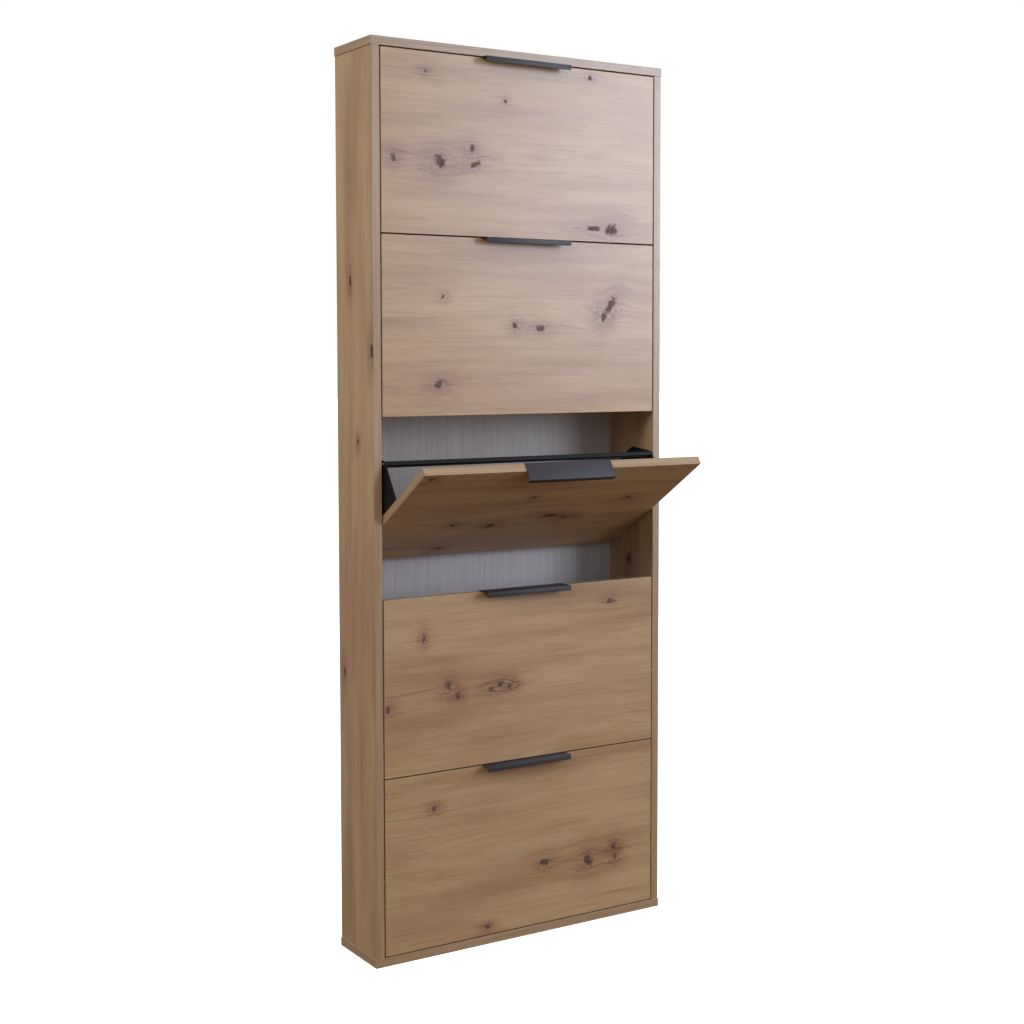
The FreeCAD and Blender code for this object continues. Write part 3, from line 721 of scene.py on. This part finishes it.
def driven_in(pattern, node, name, outward):
    """A copy of a Z-axis pattern for each solid of a CAD node, its head where the solid's head is."""
    twins = []
    for low, high in loose_parts(node):
        way = outward(low, high)
        centre = middle(low, high)
        reach = abs(way.dot(high - low)) / 2
        turn = Vector((0, 0, 1)).rotation_difference(way).to_matrix().to_4x4()
        place = Matrix.Translation(centre + way * reach) @ turn
        twins.append(copied(pattern, f"{name}_{len(twins)}", place))
    return joined(twins, name)


def inward_from_side(low, high):
    return Vector((-1 if low.x > 0 else 1, 0, 0))


def backward(low, high):
    return Vector((0, 1, 0))


def downward(low, high):
    return Vector((0, 0, -1))


def flap_screw_way(low, high):
    """Rail screws go outwards through the bin sides; the others go forwards into the front."""
    if high.x - low.x > high.y - low.y:
        return Vector((-1 if low.x > 0 else 1, 0, 0))
    return Vector((0, 1, 0))


def small_hardware(zinc, cover):
    pattern = screw()
    pieces = driven_in(pattern, "bracket_screws", "bracket_pan_screws", downward)
    stands_for(pieces, "bracket_screws", zinc)
    first = frame["joints"][0]
    shut = driven_in(pattern, "flap_1_screws", "flap_1_pan_screws", flap_screw_way)
    for joint in frame["joints"][1:]:
        flap = joint["child"]
        twin = copied(shut, f"{flap}_pan_screws", carried(first, joint))
        stands_for(twin, f"{flap}_screws", zinc)
    stands_for(shut, "flap_1_screws", zinc)
    tack = nail()
    pieces = driven_in(tack, "back_nails", "domed_back_nails", backward)
    stands_for(pieces, "back_nails", zinc)
    cover_pattern = cap()
    pieces = driven_in(cover_pattern, "cam_caps", "dished_cam_caps", inward_from_side)
    stands_for(pieces, "cam_caps", cover)
    discard(pattern, tack, cover_pattern)


def softened(node, name, edge, material):
    """The CAD shape with its edges eased, as moulding and pressing leave them."""
    piece = copied(frame["nodes"][node], name, Matrix())
    piece.parent = None
    piece.matrix_world = Matrix()
    edit(piece)
    bpy.ops.mesh.select_all(action="SELECT")
    bpy.ops.mesh.remove_doubles(threshold=1e-6)
    bpy.ops.mesh.dissolve_limited(angle_limit=radians(1))
    done_editing()
    ease_edges(piece, edge)
    stands_for(piece, node, material)


def bins(plastic, hardboard, zinc, nylon):
    for joint in frame["joints"]:
        flap = joint["child"]
        for side in ("left", "right"):
            softened(f"{flap}_bin_side_{side}", f"{flap}_moulded_side_{side}", 0.4 * MM,
                     plastic)
        softened(f"{flap}_rear_rail", f"{flap}_moulded_rail", 0.4 * MM, plastic)
        softened(f"{flap}_bin_floor", f"{flap}_floor_board", 0.3 * MM, hardboard)
        softened(f"{flap}_pivot_pins", f"{flap}_turned_pins", 0.25 * MM, zinc)
    softened("wall_brackets", "pressed_wall_brackets", 0.25 * MM, zinc)
    softened("stop_pegs", "moulded_stop_pegs", 0.25 * MM, zinc)
    softened("pivot_bushes", "moulded_bushes", 0.2 * MM, nylon)


# ---- studio ----------------------------------------------------------------------------------------


def softbox(name, place, target, width, height, power, colour=(1, 1, 1)):
    data = bpy.data.lights.new(name, "AREA")
    data.shape = "RECTANGLE"
    data.size, data.size_y = width, height
    data.energy = power
    data.color = colour
    lamp = bpy.data.objects.new(name, data)
    bpy.context.scene.collection.objects.link(lamp)
    lamp.location = place
    lamp.rotation_euler = (Vector(target) - Vector(place)).to_track_quat("-Z", "Y").to_euler()
    return lamp


def studio():
    """White all round to look at, with dimmer light from above and little from below."""
    world = bpy.data.worlds.new("studio")
    bpy.context.scene.world = world
    world.use_nodes = True
    tree = world.node_tree
    where = tree.nodes.new("ShaderNodeTexCoord")
    height = tree.nodes.new("ShaderNodeSeparateXYZ")
    lift = tree.nodes.new("ShaderNodeMapRange")
    lift.interpolation_type = "SMOOTHSTEP"
    lift.inputs["From Min"].default_value = -0.4
    lift.inputs["From Max"].default_value = 0.7
    glow = tree.nodes.new("ShaderNodeMix")
    glow.data_type = "RGBA"
    glow.inputs[MIX_FIRST].default_value = (0.13, 0.08, 0.045, 1)
    glow.inputs[MIX_SECOND].default_value = (0.6, 0.61, 0.63, 1)
    path = tree.nodes.new("ShaderNodeLightPath")
    seen = tree.nodes.new("ShaderNodeMix")
    seen.data_type = "RGBA"
    seen.inputs[MIX_SECOND].default_value = (1, 1, 1, 1)
    tree.links.new(where.outputs["Generated"], height.inputs[0])
    tree.links.new(height.outputs["Z"], lift.inputs["Value"])
    tree.links.new(lift.outputs["Result"], glow.inputs[MIX_SHARE])
    tree.links.new(path.outputs["Is Camera Ray"], seen.inputs[MIX_SHARE])
    tree.links.new(glow.outputs[MIX_COLOUR], seen.inputs[MIX_FIRST])
    tree.links.new(seen.outputs[MIX_COLOUR], tree.nodes["Background"].inputs["Color"])

    softbox("key", (2.4, -2.6, 1.6), (0.1, 0, 1.1), width=1.5, height=2.0, power=44,
            colour=(0.97, 0.97, 1.0))
    softbox("left_fill", (-3.0, -1.2, 2.9), (0, 0, 1.6), width=1.6, height=1.4, power=40)
    gloss = softbox("gloss", (2.35, -2.6, 2.1), (0.2, 0, 1.5), width=1.6, height=1.8, power=98,
                    colour=(0.62, 0.76, 1.0))
    gloss.visible_diffuse = False
    softbox("back_fill", (0.9, 3.2, 1.9), (0, 0, 0.9), width=1.6, height=1.8, power=70)

    bpy.ops.mesh.primitive_plane_add(size=80, location=(0, 0, 0))
    floor = bpy.context.object
    floor.name = "studio_floor"
    paper = Finish("floor_paper", Roughness=0.9)
    speck = paper.noise(paper.place(), 30.0, detail=3.0)
    paper.drive("Base Color", paper.mix(rgb(236, 236, 236), rgb(244, 244, 244), speck))
    paper.shader.inputs["Emission Color"].default_value = (1, 1, 1, 1)
    paper.shader.inputs["Emission Strength"].default_value = 0.85
    floor.data.materials.append(paper.material)
    floor.visible_diffuse = False
    floor.visible_glossy = False


def camera():
    data = bpy.data.cameras.new("camera")
    data.sensor_width = 36
    data.lens = 57.034
    data.shift_y = -0.0531
    eye = bpy.data.objects.new("camera", data)
    bpy.context.scene.collection.objects.link(eye)
    eye.location = (-1.6716, -2.6881, 1.122)
    heading, dip, roll = radians(32.166), radians(3.467), radians(-0.087)
    level = Euler((radians(90) - dip, 0, -heading), "XYZ").to_matrix()
    eye.rotation_euler = (level @ Matrix.Rotation(roll, 3, "Z")).to_euler()
    bpy.context.scene.camera = eye


finish_oak()
finishes = finish_the_rest()
zinc = finishes["zinc_steel"]
bent_handle(finishes["anthracite_metal"])
small_hardware(zinc, finishes["oak_plastic"])
bins(finishes["black_plastic"], finishes["black_board"], zinc, finishes["white_nylon"])
studio()
camera()
bpy.context.scene.view_settings.view_transform = "Standard"
